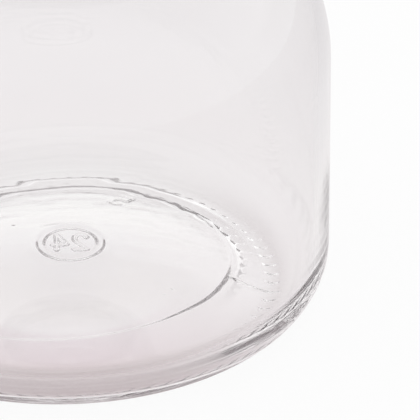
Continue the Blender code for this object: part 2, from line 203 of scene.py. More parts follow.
# Unevenness of the glass
ARCH_EASE = 0.0007
FLOOR_EASE = 0.0006
RIPPLE_SIZE = 0.014
RIPPLE_DEPTH = 0.00006
PEEL_SIZE = 0.0026
PEEL_DEPTH = 0.000018
EDGE_WANDER = 0.00020
STREAK_SIZE = (0.0070, 0.0018, 0.01)
STREAK_DEPTH = 0.00003
GROOVE_MIDDLE = math.radians(-24)
GROOVE_SPREAD = math.radians(20)
GROOVE_DEPTH = 0.00060
GROOVE_WIDTH = 0.0011
GROOVE_REACH = 0.0032
REARWARD_SINES = (0.1, 0.7)
STREAKS_FROM_MARK = (0.004, 0.008)
EDGE_WANDER_SIZE = 0.006
FLOOR_PEEL_SIZE = PEEL_SIZE * 1.7
NOISE_SHIFT = (17.3, 5.1, 11.7)

# Rows and columns of the jar's mesh
FINE_FROM = 0.0080
COLUMN_TURNS = [(k + stop) / KNURLS for k in range(KNURLS) for stop in KNURL_STOPS]
FINE_PER_COARSE = len(KNURL_STOPS) // 2
PLATE_ROWS = 52
EDGE_ROWS = 6
ANNULUS_ROWS = 20
BEARING_ROWS = 14
HEEL_ROWS = 36
FINE_HEEL_ROWS = 12
WALL_ROWS = 14
SHOULDER_ROWS = 22
NECK_ROWS = 44
LIP_ROWS = 7
INNER_LIP_ROWS = 8
INNER_NECK_ROWS = 10
INNER_SHOULDER_ROWS = 20
FILLET_ROWS = 7
INNER_HEEL_ROWS = 30
FLOOR_ROWS = 64
FLOOR_CROWDING = 1.4
BASE_ZONES = ("plate", "edge", "annulus", "bearing", "heel")
SHIFTED_ZONES = ("plate", "edge", "annulus")

# Steps along the curves of the lid
BEND_STEPS = 8
CURL_STEPS = 32
STRIP_STEPS = 8
FLARE_STEPS = 5
CORNER_STEPS = 7
SKIRT_STEPS = 36
BORDER_STEPS = 6
REAR_STEPS = 80
FRONT_STEPS = 90
FLAP_STEPS = 56
NOTCH_STEPS = 24
TRACK_STEPS = 16
KNOB_STEPS = 48


def smooth_step(low, high, value):
    """0 below low, 1 above high, and a smooth slope between them."""
    t = np.clip((value - low) / (high - low), 0, 1)
    return t * t * (3 - 2 * t)


def fall(start, stop, value):
    """1 up to start, 0 past stop, and a smooth slope between them."""
    return 1 - smooth_step(start, stop, value)


def spread(first, last, steps):
    """Evenly spaced values from first to last, both included."""
    return [first + (last - first) * i / steps for i in range(steps + 1)]


def arc(centre_r, centre_z, reach_r, reach_z, start, end, steps, power=2.0):
    """Points of a superellipse arc from start to end, in degrees from the outward direction."""
    points = []
    for degrees in spread(start, end, steps):
        angle = math.radians(degrees)
        across = math.copysign(abs(math.cos(angle)) ** (2 / power), math.cos(angle))
        upward = math.copysign(abs(math.sin(angle)) ** (2 / power), math.sin(angle))
        points.append((centre_r + reach_r * across, centre_z + reach_z * upward))
    return points


def stretch(first, last, steps):
    """Points of a straight stretch after its first point."""
    a, b = Vector(first), Vector(last)
    return [tuple(a.lerp(b, i / steps)) for i in range(1, steps + 1)]


def shoulder(wall_low, wall_high, neck_radius, steps, fillet_steps):
    """The line of a wall's side up the shoulder to the neck's foot.

    It lies inside the jar's outer line by wall_low at the shoulder's start and by wall_high at its end.
    """
    centre_r = BODY_RADIUS - SHOULDER_RADIUS
    end = math.acos((neck_radius + NECK_FLARE - centre_r) / (SHOULDER_RADIUS - wall_high))
    points = []
    for share in spread(0, 1, steps):
        radius = SHOULDER_RADIUS - wall_low - (wall_high - wall_low) * share
        angle = end * share
        points.append((centre_r + radius * math.cos(angle), SHOULDER_START + radius * math.sin(angle)))
    leg = NECK_FLARE / math.sin(end)
    first = Vector(points[-1])
    corner = Vector((neck_radius, first.y + leg * math.cos(end)))
    last = Vector((neck_radius, corner.y + leg))
    for t in spread(0, 1, fillet_steps)[1:]:
        points.append(tuple(first * (1 - t) ** 2 + corner * (2 * t * (1 - t)) + last * t**2))
    return points


NECK_FOOT = shoulder(0, 0, NECK_RADIUS, 1, 1)[-1][1]
LINER_BOTTOM = NECK_FOOT + FINISH_HEIGHT + SEAT_GAP
SKIRT_INNER = NECK_RADIUS + THREAD_HEIGHT + CAP_CLEARANCE
SKIRT_RADIUS = SKIRT_INNER + LID_SHEET
SKIRT_BOTTOM = NECK_FOOT + SKIRT_CLEARANCE
STEP_RADIUS = NECK_INNER - PANEL_MARGIN
PANEL_RADIUS = STEP_RADIUS - PANEL_SLOPE
OPENING_RADIUS = STEP_RADIUS + OPENING_MARGIN
FLAP_RADIUS = SKIRT_RADIUS - FLAP_SETBACK
DECK_TOP = LINER_BOTTOM + LINER_THICKNESS + SEAT_GAP + LID_SHEET
FLAP_BOTTOM = DECK_TOP + SEAT_GAP
HINGE_HEIGHT = DECK_TOP + PANEL_RISE + KNUCKLE_RADIUS - KNUCKLE_SINK
HINGE_POINT = Vector((0, HINGE_SETBACK, HINGE_HEIGHT))
KNOB_PLACE = Vector((0, HINGE_SETBACK - KNOB_FROM_HINGE, FLAP_BOTTOM + PANEL_RISE + LID_SHEET + SEAT_GAP))


def camera():
    """The photograph's camera: a long lens, 30 degrees up, with the jar's foot to the left in the frame."""
    focal = PIXELS_PER_METRE * CAMERA_DISTANCE
    back = Vector((0, -math.cos(CAMERA_ELEVATION), math.sin(CAMERA_ELEVATION)))
    rise = Vector((0, math.sin(CAMERA_ELEVATION), math.cos(CAMERA_ELEVATION)))
    image_right = ACROSS * math.cos(CAMERA_ROLL) - rise * math.sin(CAMERA_ROLL)
    image_up = ACROSS * math.sin(CAMERA_ROLL) + rise * math.cos(CAMERA_ROLL)
    half = IMAGE_SIZE / 2
    aside = (half - BASE_CENTRE_PIXEL[0]) / focal
    above = (BASE_CENTRE_PIXEL[1] - half) / focal
    forward = (image_right * aside + image_up * above - back).normalized()
    right = forward.cross(image_up).normalized()
    data = bpy.data.cameras.new("camera")
    data.sensor_width = SENSOR
    data.lens = focal / IMAGE_SIZE * SENSOR
    data.clip_start = CAMERA_DISTANCE / 100
    data.clip_end = CAMERA_DISTANCE * 100
    obj = bpy.data.objects.new("camera", data)
    bpy.context.scene.collection.objects.link(obj)
    obj.matrix_world = (
        Matrix.Translation(back * CAMERA_DISTANCE)
        @ Matrix((right, right.cross(forward), -forward)).transposed().to_4x4()
    )
    bpy.context.scene.camera = obj


def stroke_distance(points, line):
    """Distance of each point from a polyline."""
    best = np.full(len(points), np.inf)
    for start, end in zip(line, line[1:]):
        a, b = np.array(start), np.array(end)
        along = b - a
        t = np.clip((points - a) @ along / (along @ along), 0, 1)
        best = np.minimum(best, np.linalg.norm(points - (a + t[:, None] * along), axis=1))
    return best


def digit_lines(digit):
    """Strokes of a plain digit in a unit box about the origin."""
    if digit == "2":
        bowl = arc(0, 0.22, 0.42, 0.28, 165, -35, 10)
        return [bowl + [(-0.45, -0.5), (0.46, -0.5)]]
    if digit == "4":
        return [[(0.22, -0.5), (0.22, 0.5), (-0.46, -0.18), (0.5, -0.18)]]
    bowl = arc(-0.02, -0.17, 0.44, 0.33, 140, -150, 12)
    return [[(0.38, 0.5), (-0.3, 0.5)] + bowl]


def number_relief(points, text, centre, turn):
    """Raised share of plain digits, from 0 to 1, to be read from under the jar."""
    c, s = math.cos(turn), math.sin(turn)
    local = points - np.array(centre)
    local = np.stack([-(local[:, 0] * c + local[:, 1] * s), local[:, 1] * c - local[:, 0] * s], 1)
    best = np.full(len(points), np.inf)
    for i, digit in enumerate(text):
        offset = (i - (len(text) - 1) / 2) * (DIGIT_WIDTH + DIGIT_GAP)
        for line in digit_lines(digit):
            placed = [(x * DIGIT_WIDTH + offset, y * DIGIT_HEIGHT) for x, y in line]
            best = np.minimum(best, stroke_distance(local, placed))
    return fall(*STROKE_FLANK, best / STROKE_WIDTH)


def eased(height, top, ease):
    """A height from zero to top that leaves zero softly."""
    return (np.hypot(height, ease) - ease) * top / (math.hypot(top, ease) - ease)


def arch_height(radius):
    """Height of the pushed-up underside, run out softly into the bearing ring."""
    height = ARCH_HEIGHT * (1 - (radius / BEARING_INNER) ** ARCH_POWER)
    return KNURL_HEIGHT + eased(height, ARCH_HEIGHT - KNURL_HEIGHT, ARCH_EASE)


def plate_shift(turns, radius):
    """How far the plate's uneven edge, and the glass near it, lie out from a true circle."""
    reach = PLATE_SHIFT + sum(
        cosine * np.cos(math.tau * k * turns) + sine * np.sin(math.tau * k * turns)
        for k, (cosine, sine) in enumerate(PLATE_WAVES, 1)
    )
    share = smooth_step(PLATE_WAVE_FROM, PLATE_RADIUS, radius)
    share -= smooth_step(PLATE_RADIUS + PLATE_STEP_WIDTH, BEARING_INNER, radius)
    return reach * share


def floor_height(radius):
    """Height of the domed inner floor, run out softly into the inner heel."""
    top = INNER_FLOOR_TOP - HEEL_FLOOR
    return HEEL_FLOOR + eased(top * (1 - (radius / INNER_FLOOR_RADIUS) ** 2), top, FLOOR_EASE)


def jar_rows():
    """Half section of the jar in rows (radius, height, fine, zone): out under it, up outside, down inside."""
    rows = []

    def add(points, zone, fine=False):
        rows.extend((radius, height, fine, zone) for radius, height in points)

    def add_arch(first, last, steps, zone, fine=True):
        add([(radius, arch_height(radius)) for radius in spread(first, last, steps)[1:]], zone, fine)

    foot = PLATE_RADIUS + PLATE_STEP_WIDTH
    add([(0, arch_height(0))], "plate")
    add_arch(0, MARK_REACH, PLATE_ROWS, "plate", fine=False)
    add_arch(MARK_REACH, FINE_FROM, 1, "plate", fine=False)
    add_arch(FINE_FROM, PLATE_RADIUS, PLATE_ROWS, "plate")
    add_arch(PLATE_RADIUS, foot, EDGE_ROWS, "edge")
    add_arch(foot, BEARING_INNER, ANNULUS_ROWS, "annulus")
    bearing = stretch((BEARING_INNER, KNURL_HEIGHT), (BEARING_OUTER, KNURL_HEIGHT), BEARING_ROWS)
    add(bearing, "bearing", fine=True)
    heel_rise = HEEL_HEIGHT - KNURL_HEIGHT
    heel = arc(BEARING_OUTER, HEEL_HEIGHT, HEEL_REACH, heel_rise, -90, 0, HEEL_ROWS, HEEL_POWER)[1:]
    add(heel[:FINE_HEEL_ROWS], "heel", fine=True)
    add(heel[FINE_HEEL_ROWS:], "heel")
    outer = shoulder(0, 0, NECK_RADIUS, SHOULDER_ROWS, FILLET_ROWS)
    add(stretch((BODY_RADIUS, HEEL_HEIGHT), outer[0], WALL_ROWS), "wall")
    add(outer[1:], "wall")
    rim = outer[-1][1] + FINISH_HEIGHT
    add(stretch(outer[-1], (NECK_RADIUS, rim - OUTER_LIP), NECK_ROWS), "neck")
    add(arc(NECK_RADIUS - OUTER_LIP, rim - OUTER_LIP, OUTER_LIP, OUTER_LIP, 0, 90, LIP_ROWS)[1:], "lip")
    add(arc(NECK_INNER + INNER_LIP, rim - INNER_LIP, INNER_LIP, INNER_LIP, 90, 180, INNER_LIP_ROWS), "lip")
    inner = shoulder(BODY_WALL, SHOULDER_WALL, NECK_INNER, INNER_SHOULDER_ROWS, FILLET_ROWS)[::-1]
    add(stretch((NECK_INNER, rim - INNER_LIP), inner[0], INNER_NECK_ROWS), "inner")
    add(inner[1:], "inner")
    heel_top = HEEL_FLOOR + INNER_HEEL_HEIGHT
    add(stretch(inner[-1], (BODY_RADIUS - BODY_WALL, heel_top), WALL_ROWS), "inner")
    inner_heel = arc(
        INNER_FLOOR_RADIUS,
        heel_top,
        INNER_HEEL_REACH,
        INNER_HEEL_HEIGHT,
        0,
        -90,
        INNER_HEEL_ROWS,
        INNER_HEEL_POWER,
    )
    add(inner_heel[1:], "inner")
    for share in spread(0, 1, FLOOR_ROWS)[1:]:
        radius = INNER_FLOOR_RADIUS * (1 - share**FLOOR_CROWDING)
        add([(radius, floor_height(radius))], "floor")
    return rows


def noise_at(points, size, seed):
    """Smooth noise of that size at each point, from about -1 to 1."""
    shift = Vector([seed * step for step in NOISE_SHIFT])
    return np.array([noise.noise(Vector(p) / size + shift) for p in points])


def thread_relief(turns, heights, start):
    """Raised share of the screw thread at each point of the neck."""
    best = np.zeros(len(turns))
    for whole in (-1, 0, 1, 2):
        along = turns % 1 + whole
        share = along / THREAD_TURNS
        rise = np.minimum(smooth_step(0, RUN_OUT_SHARE, share), fall(1 - RUN_OUT_SHARE, 1, share))
        away = np.abs(heights - (start + THREAD_LEAD * along)) / (THREAD_WIDTH / 2)
        best = np.maximum(best, rise * fall(*THREAD_FLANK, away))
    return best


def base_relief(points, turns, row_radius, zone):
    """How far the moulded marks stand down from the base, for one row of that zone."""
    down = np.zeros(len(points))
    flat = points[:, :2]
    radii = np.linalg.norm(flat, axis=1)
    past_edge = row_radius - PLATE_RADIUS
    if zone in ("plate", "edge"):
        rearward = smooth_step(*REARWARD_SINES, np.sin(turns * math.tau))
        faded = smooth_step(FADE_FROM, PLATE_RADIUS, row_radius) * (NEAR_FADE + (1 - NEAR_FADE) * rearward)
        down += PLATE_STEP * fall(0, PLATE_STEP_WIDTH, past_edge) * (1 - faded)
    if zone == "plate":
        from_mark = np.linalg.norm(flat - np.array(MARK_CENTRE), axis=1)
        down -= MARK_SINK * fall(MARK_RADIUS, MARK_REACH, from_mark)
        down += MARK_HEIGHT * fall(*RING_FLANK, np.abs(from_mark - MARK_RADIUS) / MARK_WIDTH)
        down += MARK_HEIGHT * number_relief(flat, MARK_TEXT, MARK_CENTRE, 0)
        down += MOULD_HEIGHT * number_relief(flat, MOULD_TEXT, MOULD_CENTRE, MOULD_TURN)
        for pip in PIPS:
            down += PIP_HEIGHT * fall(0, PIP_RADIUS, np.linalg.norm(flat - np.array(pip), axis=1))
        down += PEEL_DEPTH * noise_at(points, PEEL_SIZE, seed=3)
        streaks = noise_at(points / np.array(STREAK_SIZE), 1.0, seed=4)
        down += STREAK_DEPTH * streaks * smooth_step(*STREAKS_FROM_MARK, from_mark)
    if zone in ("annulus", "bearing", "heel"):
        along = (radii - KNURL_MIDDLE) / (KNURL_LENGTH / 2)
        bow = KNURL_BOW * (along**2 - 0.5)
        pitch = math.tau * radii / KNURLS
        beside = (turns * KNURLS + 0.5) % 1 - 0.5
        away = np.abs(beside * pitch - bow) / (KNURL_WIDTH / 2)
        down += KNURL_HEIGHT * fall(*KNURL_FLANK, away) * fall(*KNURL_END, np.abs(along))
    if zone in ("edge", "annulus"):
        turned = (turns * math.tau - GROOVE_MIDDLE + math.pi) % math.tau - math.pi
        across = smooth_step(0, GROOVE_WIDTH, past_edge) * fall(GROOVE_WIDTH, GROOVE_REACH, past_edge)
        down -= GROOVE_DEPTH * across * np.exp(-((turned / GROOVE_SPREAD) ** 2))
    if zone in ("annulus", "bearing"):
        for opposite in (0, 0.5):
            beside = (turns - SEAM_KNURL / KNURLS - opposite + 0.5) % 1 - 0.5
            away = np.abs(beside * math.tau * radii) / (SEAM_WIDTH / 2)
            down += SEAM_HEIGHT * fall(0, 1, away)
    return down


def jar_mesh():
    """The whole glass as one closed mesh, with the marks, the thread and a slight unevenness in its shape."""
    rows = jar_rows()
    builder = bmesh.new()
    tangent = np.gradient(np.array([row[:2] for row in rows]), axis=0)
    normal = np.stack([tangent[:, 1], -tangent[:, 0]], 1)
    normal /= np.linalg.norm(normal, axis=1)[:, None]
    thread_foot = min(row[1] for row in rows if row[3] == "neck") + THREAD_START
    rings = []
    for (radius, height, fine, zone), (normal_r, normal_z) in zip(rows, normal):
        if radius == 0:
            rings.append([builder.verts.new((0, 0, height))])
            continue
        turns = np.array(COLUMN_TURNS if fine else COLUMN_TURNS[::FINE_PER_COARSE])
        angles = turns * math.tau
        directions = np.stack([np.cos(angles), np.sin(angles), np.zeros(len(angles))], 1)
        reach = np.full(len(turns), radius)
        if zone in SHIFTED_ZONES:
            reach = radius + plate_shift(turns, radius)
            height = arch_height(reach)
        points = directions * reach[:, None]
        points[:, 2] = height
        if zone in BASE_ZONES:
            points[:, 2] = np.maximum(points[:, 2] - base_relief(points, turns, radius, zone), 0)
        if zone == "edge":
            points += directions * (EDGE_WANDER * noise_at(points, EDGE_WANDER_SIZE, seed=5))[:, None]
        if zone == "neck":
            raised = thread_relief(turns, points[:, 2], thread_foot)
            points += directions * (THREAD_HEIGHT * raised)[:, None]
        if zone in ("inner", "floor"):
            outward = directions * normal_r + np.array([0, 0, normal_z])
            points += outward * (RIPPLE_DEPTH * noise_at(points, RIPPLE_SIZE, seed=7))[:, None]
        if zone == "floor":
            points[:, 2] += PEEL_DEPTH * noise_at(points, FLOOR_PEEL_SIZE, seed=9)
        rings.append([builder.verts.new(point) for point in points])
    for below, above in zip(rings, rings[1:]):
        join_rings(builder, below, above)
    return smooth_mesh("jar_glass", builder)


def join_rings(builder, below, above):
    """Faces between two rings of vertices, of which one may be a single point or have more columns."""
    steps = min(n for n in (len(below), len(above)) if n > 1)
    for k in range(steps):
        corners = []
        for ring, order in ((below, 1), (above, -1)):
            each = len(ring) // steps
            span = [ring[(k * each + i) % len(ring)] for i in range(each + 1)] if each else [ring[0]]
            corners += span[::order]
        builder.faces.new(corners)


def smooth_mesh(name, builder):
    """The mesh of a bmesh, facing out and shaded smooth."""
    bmesh.ops.recalc_face_normals(builder, faces=builder.faces)
    mesh = bpy.data.meshes.new(name)
    builder.to_mesh(mesh)
    builder.free()
    mesh.shade_smooth()
    return mesh


def add_object(name, mesh):
    """An object of that mesh, in the scene."""
    obj = bpy.data.objects.new(name, mesh)
    bpy.context.scene.collection.objects.link(obj)
    return obj


def new_material(name):
    """A material with its node tree, its Principled shader and its output."""
    material = bpy.data.materials.new(name)
    material.use_nodes = True
    tree = material.node_tree
    return material, tree, tree.nodes["Principled BSDF"], tree.nodes["Material Output"]


def add_node(tree, kind, values=None, **settings):
    """A new node with those input values and settings."""
    node = tree.nodes.new(kind)
    for key, value in settings.items():
        setattr(node, key, value)
    for key, value in (values or {}).items():
        node.inputs[key].default_value = value
    return node


def object_place(tree):
    """Each point's place on its own object."""
    return add_node(tree, "ShaderNodeTexCoord").outputs["Object"]


def noise_texture(tree, place, scale, detail, distortion=0.0):
    """Noise at that place."""
    values = {"Scale": scale, "Detail": detail, "Distortion": distortion}
    node = add_node(tree, "ShaderNodeTexNoise", values)
    tree.links.new(place, node.inputs["Vector"])
    return node.outputs["Fac"]


def remap(tree, value, source, target=(0.0, 1.0), easing="LINEAR"):
    """A value taken from one range to another, and held inside it."""
    ends = {"From Min": source[0], "From Max": source[1], "To Min": target[0], "To Max": target[1]}
    node = add_node(tree, "ShaderNodeMapRange", ends, interpolation_type=easing)
    tree.links.new(value, node.inputs["Value"])
    return node.outputs["Result"]


def add_bump(tree, shader, height, strength, distance):
    """A bump of that height on a shader."""
    node = add_node(tree, "ShaderNodeBump", {"Strength": strength, "Distance": distance})
    tree.links.new(height, node.inputs["Height"])
    tree.links.new(node.outputs["Normal"], shader.inputs["Normal"])


def blend_colours(tree, factor, first, second):
    """A colour Mix node, each input a socket or a plain value."""
    node = add_node(tree, "ShaderNodeMix", data_type="RGBA")
    for socket, value in zip((node.inputs[0], node.inputs[6], node.inputs[7]), (factor, first, second)):
        if isinstance(value, bpy.types.NodeSocket):
            tree.links.new(value, socket)
        else:
            socket.default_value = value
    return node.outputs[2]


def mix_shaders(tree, factor, first, second):
    """A Mix Shader node between two shader nodes."""
    node = add_node(tree, "ShaderNodeMixShader")
    for socket, value in zip(node.inputs, (factor, first.outputs[0], second.outputs[0])):
        tree.links.new(value, socket)
    return node


# Colour and optics of the glass, and how much duller the steel is in its smudges
GLASS_TINT = (0.985, 0.980, 0.980, 1)
GLASS_ABSORPTION = (0.90, 0.88, 0.886, 1)
GLASS_DENSITY = 20.0
GLASS_INDEX = 1.5
DULL_SHARE = 0.93


def glass_material():
    """Clear soda glass: slight warm tint, faint ripples in the surface and absorption in its thickness."""
    material, tree, shader, output = new_material("clear_glass")
    shader.inputs["Base Color"].default_value = GLASS_TINT
    shader.inputs["Transmission Weight"].default_value = 1.0
    shader.inputs["IOR"].default_value = GLASS_INDEX
    fine = noise_texture(tree, object_place(tree), scale=260.0, detail=2.0)
    tree.links.new(remap(tree, fine, (0.45, 0.8), (0.0, 0.015)), shader.inputs["Roughness"])
    add_bump(tree, shader, fine, strength=0.25, distance=0.00002)
    absorption = {"Color": GLASS_ABSORPTION, "Density": GLASS_DENSITY}
    volume = add_node(tree, "ShaderNodeVolumeAbsorption", absorption)
    tree.links.new(volume.outputs["Volume"], output.inputs["Volume"])
    return material


def spun(name, outline, steps=160, closed=False, sharp=SHARP_FROM):
    """A turned piece about +Z from points (radius, height)."""
    builder = bmesh.new()
    verts = [builder.verts.new((radius, 0, height)) for radius, height in outline]
    pairs = list(zip(verts, verts[1:])) + ([(verts[-1], verts[0])] if closed else [])
    edges = [builder.edges.new(pair) for pair in pairs]
    bmesh.ops.spin(
        builder, geom=verts + edges, cent=(0, 0, 0), axis=UP, angle=math.tau, steps=steps, use_merge=True
    )
    return finished(name, builder, sharp)


def finished(name, builder, sharp=SHARP_FROM):
    """The object of a bmesh, welded, facing out, and smooth but for its sharp edges."""
    bmesh.ops.remove_doubles(builder, verts=builder.verts, dist=WELD_DISTANCE)
    mesh = smooth_mesh(name, builder)
    mesh.set_sharp_from_angle(angle=sharp)
    return add_object(name, mesh)


def cut(obj, builder):
    """Takes a closed shape out of an object for good."""
    tool = finished("tool", builder)
    modifier = obj.modifiers.new("cut", "BOOLEAN")
    modifier.operation = "DIFFERENCE"
    modifier.solver = "EXACT"
    modifier.object = tool
    bpy.context.view_layer.update()
    shape = bpy.data.meshes.new_from_object(obj.evaluated_get(bpy.context.evaluated_depsgraph_get()))
    obj.modifiers.clear()
    obj.data = shape
    bpy.data.objects.remove(tool)


def pressed_sheet(name, rings, plates):
    """Sheet metal from its middle surface: strips between rows of points, and flat plates in outlines."""
    builder = bmesh.new()
    made = {}

    def vert(point):
        key = tuple(round(value / WELD_DISTANCE) for value in point)
        if key not in made:
            made[key] = builder.verts.new(point)
        return made[key]

    for rows in rings:
        lines = [[vert(point) for point in row] for row in rows]
        for below, above in zip(lines, lines[1:]):
            for a, b, c, d in zip(below, below[1:], above[1:], above):
                builder.faces.new((a, b, c, d))
    for outline in plates:
        builder.faces.new([vert(point) for point in outline])
    obj = add_object(name, smooth_mesh(name, builder))
    solid = obj.modifiers.new("sheet", "SOLIDIFY")
    solid.thickness = LID_SHEET
    solid.offset = 0
    solid.use_even_offset = True
    edge = obj.modifiers.new("rounded_edges", "BEVEL")
    edge.width = SHEET_EDGE
    edge.segments = 3
    edge.limit_method = "ANGLE"
    edge.angle_limit = BEVEL_FROM
    edge.use_clamp_overlap = False
    even = obj.modifiers.new("even_normals", "WEIGHTED_NORMAL")
    even.keep_sharp = False
    return obj


def soft_bend(steps):
    """Pairs of shares (along, up) of a soft bend like a drawn-out S."""
    return [(share, (1 - math.cos(math.pi * share)) / 2) for share in spread(0, 1, steps)]


def stamped_rows(low):
    """Rows (radius, height) of the stamped step, from the flat border to just inside the raised panel."""
    bend = soft_bend(BEND_STEPS)
    rows = [(STEP_RADIUS - PANEL_SLOPE * along, low + PANEL_RISE * up) for along, up in bend]
    return rows + [(PANEL_RADIUS - LID_SHEET / 2, low + PANEL_RISE)]


def curl_line(start_y, sheet_z, way):
    """Points (y, z) of a knuckle rolled from the sheet: a jog under the pin, then round it.

    way is 1 for the flap and -1 for the cap.
    """
    radius = KNUCKLE_RADIUS - LID_SHEET / 2
    low = HINGE_HEIGHT - radius
    line = []
    for along, up in soft_bend(BEND_STEPS):
        line.append((start_y + (HINGE_SETBACK - start_y) * along, sheet_z + (low - sheet_z) * up))
    for turned in spread(0, way * (CURL_END + math.pi / 2), CURL_STEPS)[1:]:
        angle = turned - math.pi / 2
        line.append((HINGE_SETBACK + radius * math.cos(angle), HINGE_HEIGHT + radius * math.sin(angle)))
    return line


def knuckle_strip(start_y, sheet_z, way, low_x, high_x):
    """Rows of points across a rolled knuckle, from low_x to high_x."""
    stations = spread(low_x, high_x, STRIP_STEPS)
    return [[(x, y, z) for x in stations] for y, z in curl_line(start_y, sheet_z, way)]


def skirt_rows():
    """Rows (radius, height) of the cap's middle surface: flared foot, skirt, corner, and deck."""
    middle = LID_SHEET / 2
    foot = SKIRT_BOTTOM + SHEET_EDGE
    rows = []
    for up in spread(0, 1, FLARE_STEPS):
        flare = FOOT_FLARE * (1 - up) ** 2
        rows.append((SKIRT_RADIUS - middle + flare, foot + FOOT_FLARE_HEIGHT * up))
    bend = DECK_CORNER - middle
    corner = arc(SKIRT_RADIUS - DECK_CORNER, DECK_TOP - DECK_CORNER, bend, bend, 0, 90, CORNER_STEPS)
    rows += stretch(rows[-1], corner[0], SKIRT_STEPS) + corner[1:]
    rows += stretch(corner[-1], (OPENING_RADIUS, DECK_TOP - middle), BORDER_STEPS)
    return rows


def rolled_thread(angle, height):
    """How far the skirt is rolled in at a place, to grip the jar's thread."""
    lag = (THREAD_WIDTH + CAP_THREAD_CREST) / 2 + THREAD_PLAY
    start_height = SKIRT_BOTTOM + CAP_THREAD_LIFT
    start_turn = (start_height + lag - NECK_FOOT - THREAD_START) / THREAD_LEAD
    depth = 0
    for whole in (-1, 0, 1):
        turn = angle / math.tau - start_turn + whole
        share = turn / CAP_THREAD_TURNS
        rise = min(share, 1 - share) / RUN_OUT_SHARE
        if rise > 0:
            away = abs(height - start_height - THREAD_LEAD * turn) / CAP_THREAD_REACH
            if away < 1:
                depth = max(depth, min(1, rise) * (1 + math.cos(math.pi * away)) / 2)
    return CAP_THREAD_DEPTH * depth


def lid_cap():
    """The cap: rolled skirt, flat border, raised rear panel, and a knuckle rolled at each end of its edge."""
    chord = math.asin(HINGE_SETBACK / OPENING_RADIUS)
    rear = spread(chord, math.pi - chord, REAR_STEPS)
    front = spread(math.pi - chord, math.tau + chord, FRONT_STEPS)
    ring = []
    for radius, height in skirt_rows():
        row = []
        for angle in rear + front[1:]:
            reach = radius - rolled_thread(angle % math.tau, height)
            row.append((reach * math.cos(angle), reach * math.sin(angle), height))
        row[-1] = row[0]
        ring.append(row)
    low = DECK_TOP - LID_SHEET / 2
    step = []
    for radius, height in [(OPENING_RADIUS, low)] + stamped_rows(low):
        across = math.sqrt(radius**2 - HINGE_SETBACK**2)
        row = [(radius * math.cos(angle), radius * math.sin(angle), height) for angle in rear]
        row[0] = (across, HINGE_SETBACK, height)
        row[-1] = (-across, HINGE_SETBACK, height)
        step.append(row)
    panel = low + PANEL_RISE
    back = HINGE_SETBACK + KNUCKLE_RADIUS + KNUCKLE_GAP
    near = FLAP_KNUCKLE_LENGTH / 2 + KNUCKLE_GAP
    far = near + CAP_KNUCKLE_LENGTH
    right = knuckle_strip(back, panel, -1, near, far)
    left = knuckle_strip(back, panel, -1, -far, -near)
    relief = [(far + RELIEF_WIDTH, back, panel), (far + RELIEF_WIDTH, HINGE_SETBACK, panel)]
    outline = step[-1] + [(-x, y, z) for x, y, z in relief[::-1]] + left[0] + right[0] + relief
    return pressed_sheet("cap_steel", [ring, step, right, left], [outline])


def lid_flap():
    """The flap: raised half panel with its step and border, the spoon notch, and the middle knuckle."""
    edge = HINGE_SETBACK - KNUCKLE_RADIUS - KNUCKLE_GAP
    half_notch = NOTCH_WIDTH / 2
    low = FLAP_BOTTOM + LID_SHEET / 2
    border = stretch((FLAP_RADIUS, low), (STEP_RADIUS, low), BORDER_STEPS)
    sides = [[], []]
    for radius, height in [(FLAP_RADIUS, low)] + border[:-1] + stamped_rows(low):
        first = math.asin(edge / radius)
        last = math.asin(half_notch / radius) - math.pi / 2
        angles = spread(first, last, FLAP_STEPS)
        sides[0].append([(radius * math.cos(a), radius * math.sin(a), height) for a in angles])
        sides[1].append([(-radius * math.cos(a), radius * math.sin(a), height) for a in angles])
    panel = low + PANEL_RISE
    notch_middle = NOTCH_DEPTH - half_notch - FLAP_RADIUS
    notch_arc = arc(0, notch_middle, half_notch, half_notch, 0, 180, NOTCH_STEPS)
    notch = [(x, y, panel) for x, y in notch_arc]
    half = FLAP_KNUCKLE_LENGTH / 2
    strip = knuckle_strip(edge, panel, 1, -half, half)
    outline = sides[0][-1] + notch + sides[1][-1][::-1] + strip[0]
    return pressed_sheet("flap_steel", sides + [strip], [outline])


def lid_liner():
    """The soft ring under the deck, with rounded edges and the track that the jar's rim has pressed in."""
    inner = NECK_INNER + LINER_INSET
    outer = SKIRT_INNER - LINER_PLAY
    top = LINER_BOTTOM + LINER_THICKNESS
    edge = LINER_EDGE
    outline = []
    corners = (
        (outer - edge, LINER_BOTTOM + edge, -90),
        (outer - edge, top - edge, 0),
        (inner + edge, top - edge, 90),
        (inner + edge, LINER_BOTTOM + edge, 180),
    )
    for radius, height, start in corners:
        outline += arc(radius, height, edge, edge, start, start + 90, 4)
    track = inner + 2 * edge
    for share in spread(0, 1, TRACK_STEPS):
        lift = LINER_TRACK * math.sin(math.pi * share) ** 2
        outline.append((track + (NECK_RADIUS - track) * share, LINER_BOTTOM + lift))
    return spun("seal_ring", outline, closed=True, sharp=LINER_SHARP_FROM)


def hinge_pin():
    """The pin across the lid, with its domed, peened heads."""
    half = FLAP_KNUCKLE_LENGTH / 2 + KNUCKLE_GAP + CAP_KNUCKLE_LENGTH + SEAT_GAP
    head = arc(0, half, PIN_HEAD_RADIUS, PIN_HEAD_THICKNESS, 0, 90, 8)
    head[-1] = (0, half + PIN_HEAD_THICKNESS)
    outline = [(radius, -height) for radius, height in head[::-1]]
    outline += [(PIN_RADIUS, -half), (PIN_RADIUS, half)] + head
    pin = spun("pin_steel", outline, steps=48)
    pin.data.transform(Matrix.Translation(HINGE_POINT) @ UP.rotation_difference(ACROSS).to_matrix().to_4x4())
    return pin


